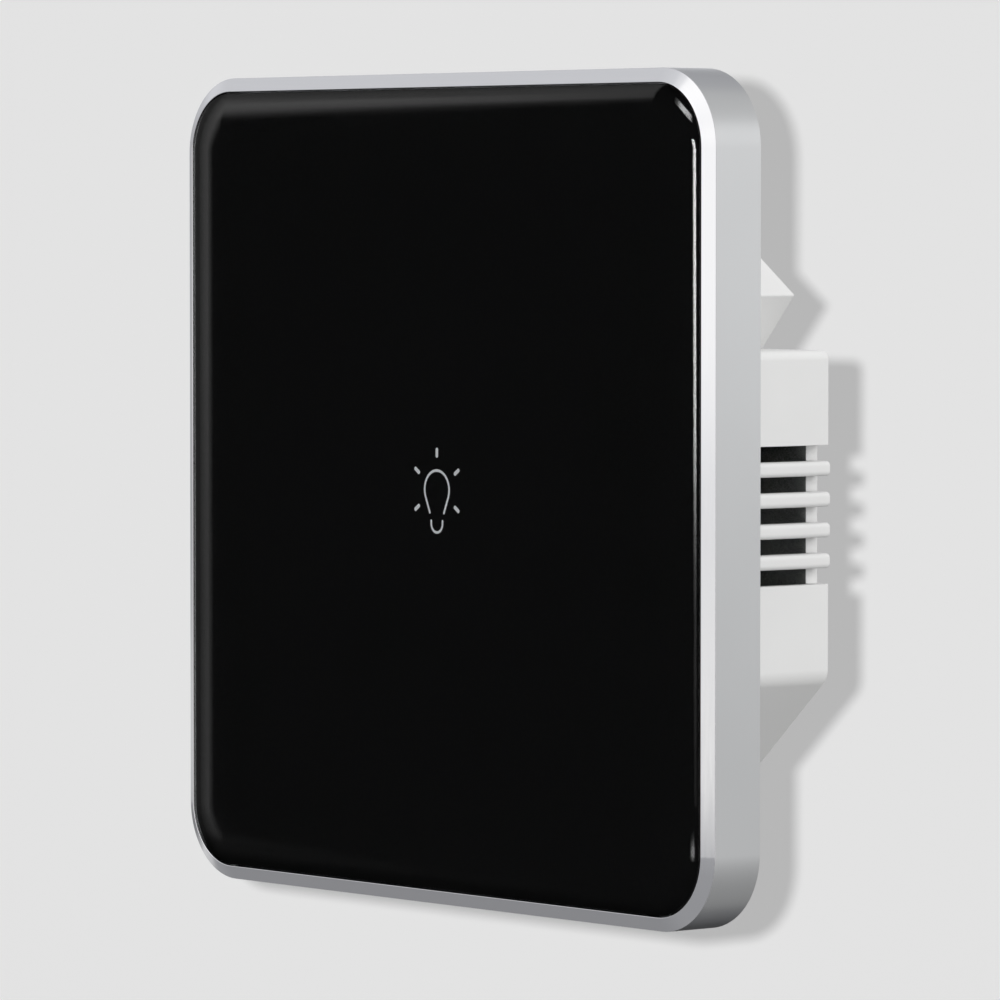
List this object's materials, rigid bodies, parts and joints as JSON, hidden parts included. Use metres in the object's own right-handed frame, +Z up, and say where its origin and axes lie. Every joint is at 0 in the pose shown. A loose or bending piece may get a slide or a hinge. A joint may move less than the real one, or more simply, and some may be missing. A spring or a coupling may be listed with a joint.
{
  "type": "smart touch switch",
  "caption": "Square wall touch switch: black glass panel with a lamp sign in a bevelled metal frame, and a vented white housing with terminals for the wall box.",
  "frame": {"origin": "centre of the square panel on the wall's surface, midway between the two wall screws", "axes": "X to the right seen from the room, +Y into the wall, Z up"},
  "size_m": [0.086, 0.0352, 0.086],
  "materials": {
    "frame_metal": "satin, with a brighter cut bevel",
    "clear_glass": "polished, tempered",
    "black_print": "opaque black print",
    "sign_print": "translucent white print",
    "tape": "thin double-sided foam tape",
    "inner_plastic": "moulded, fine grain",
    "housing_plastic": "white flame-retardant moulding, fine grain",
    "well_plastic": "white moulding",
    "steel": "zinc plated",
    "spring_steel": "bright nickel plated wire",
    "circuit_board": "green solder mask on glass fibre",
    "radio_circuit_board": "dark blue solder mask",
    "chip_black": "moulded epoxy",
    "lamp_lens": "clear resin over a pale yellow phosphor",
    "shield_metal": "tin plated",
    "connector_plastic": "black nylon",
    "contact_metal": "bright",
    "terminal_plastic": "pale grey nylon",
    "relay_plastic": "dark blue, smooth",
    "bobbin_plastic": "natural nylon",
    "copper_wire": "enamelled copper wire",
    "soft_iron": "nickel plated",
    "ferrite": "sintered, matte",
    "winding_tape": "yellow polyester tape",
    "capacitor_sleeve": "shrink sleeve over an aluminium can",
    "film_capacitor_case": "moulded, smooth",
    "varistor_coating": "dipped epoxy",
    "ceramic": "glazed ceramic",
    "fuse_metal": "nickel plated"
  },
  "bodies": {
    "base": {"header_socket": "connector_plastic", "socket_tails": "contact_metal", "base_plate": "housing_plastic", "rear_housing": "housing_plastic", "housing_screws": "steel", "terminal_cover": "housing_plastic", "cover_screws": "steel", "power_board": "circuit_board", "terminal_block": "terminal_plastic", "contact_bars": "contact_metal", "relay_base": "relay_plastic", "relay_case": "relay_plastic", "relay_bobbin": "bobbin_plastic", "relay_coil": "copper_wire", "relay_core": "soft_iron", "relay_yoke": "soft_iron", "relay_fixed_contact": "contact_metal", "transformer_bobbin": "bobbin_plastic", "transformer_core": "ferrite", "transformer_winding": "winding_tape", "input_capacitor": "capacitor_sleeve", "output_capacitor": "capacitor_sleeve", "suppression_capacitor": "film_capacitor_case", "varistor": "varistor_coating", "fuse_body": "ceramic", "fuse_caps": "fuse_metal", "choke_core": "ferrite", "choke_winding": "copper_wire", "rectifier": "chip_black", "power_chip": "chip_black"},
    "panel": {"front_frame": "frame_metal", "glass_panel": "clear_glass", "icon_print": "sign_print", "black_film": "black_print", "panel_adhesive": "tape", "panel_carrier": "inner_plastic", "carrier_screws": "steel", "touch_board": "circuit_board", "touch_board_screws": "steel", "indicator_led": "lamp_lens", "light_well": "well_plastic", "touch_spring": "spring_steel", "touch_chip": "chip_black", "wireless_module": "radio_circuit_board", "module_shield": "shield_metal", "header_strip": "connector_plastic", "header_pins": "contact_metal"},
    "terminal_screw_1_turning": {"terminal_screw_1": "steel"},
    "wire_clamp_1_rising": {"wire_clamp_1": "steel"},
    "terminal_screw_2_turning": {"terminal_screw_2": "steel"},
    "wire_clamp_2_rising": {"wire_clamp_2": "steel"},
    "terminal_screw_3_turning": {"terminal_screw_3": "steel"},
    "wire_clamp_3_rising": {"wire_clamp_3": "steel"},
    "armature": {"relay_armature": "soft_iron", "relay_contact_spring": "contact_metal"}
  },
  "joints": [
    {"name": "panel_pull", "type": "slide", "parent": "base", "child": "panel", "axis": [0, -1, 0], "range_m": [0, 0.04]},
    {"name": "terminal_screw_1_turn", "type": "hinge", "parent": "base", "child": "terminal_screw_1_turning", "pos_m": [-0.00762, 0.02, 0.0192], "axis": [0, -1, 0], "range_deg": [0, 1620]},
    {"name": "wire_clamp_1_lift", "type": "slide", "parent": "base", "child": "wire_clamp_1_rising", "axis": [0, 1, 0], "range_m": [0, 0.00225]},
    {"name": "terminal_screw_2_turn", "type": "hinge", "parent": "base", "child": "terminal_screw_2_turning", "pos_m": [0, 0.02, 0.0192], "axis": [0, -1, 0], "range_deg": [0, 1620]},
    {"name": "wire_clamp_2_lift", "type": "slide", "parent": "base", "child": "wire_clamp_2_rising", "axis": [0, 1, 0], "range_m": [0, 0.00225]},
    {"name": "terminal_screw_3_turn", "type": "hinge", "parent": "base", "child": "terminal_screw_3_turning", "pos_m": [0.00762, 0.02, 0.0192], "axis": [0, -1, 0], "range_deg": [0, 1620]},
    {"name": "wire_clamp_3_lift", "type": "slide", "parent": "base", "child": "wire_clamp_3_rising", "axis": [0, 1, 0], "range_m": [0, 0.00225]},
    {"name": "armature_tilt", "type": "hinge", "parent": "base", "child": "armature", "pos_m": [0.0005, 0.0204, 0.0066], "axis": [0, 0, -1], "range_deg": [0, 4], "stiffness_Nm_per_rad": 0.002}
  ],
  "couplings": [
    {"joint": "terminal_screw_1_turn", "follows": "wire_clamp_1_lift", "rad_per_m": 12566},
    {"joint": "terminal_screw_2_turn", "follows": "wire_clamp_2_lift", "rad_per_m": 12566},
    {"joint": "terminal_screw_3_turn", "follows": "wire_clamp_3_lift", "rad_per_m": 12566}
  ]
}
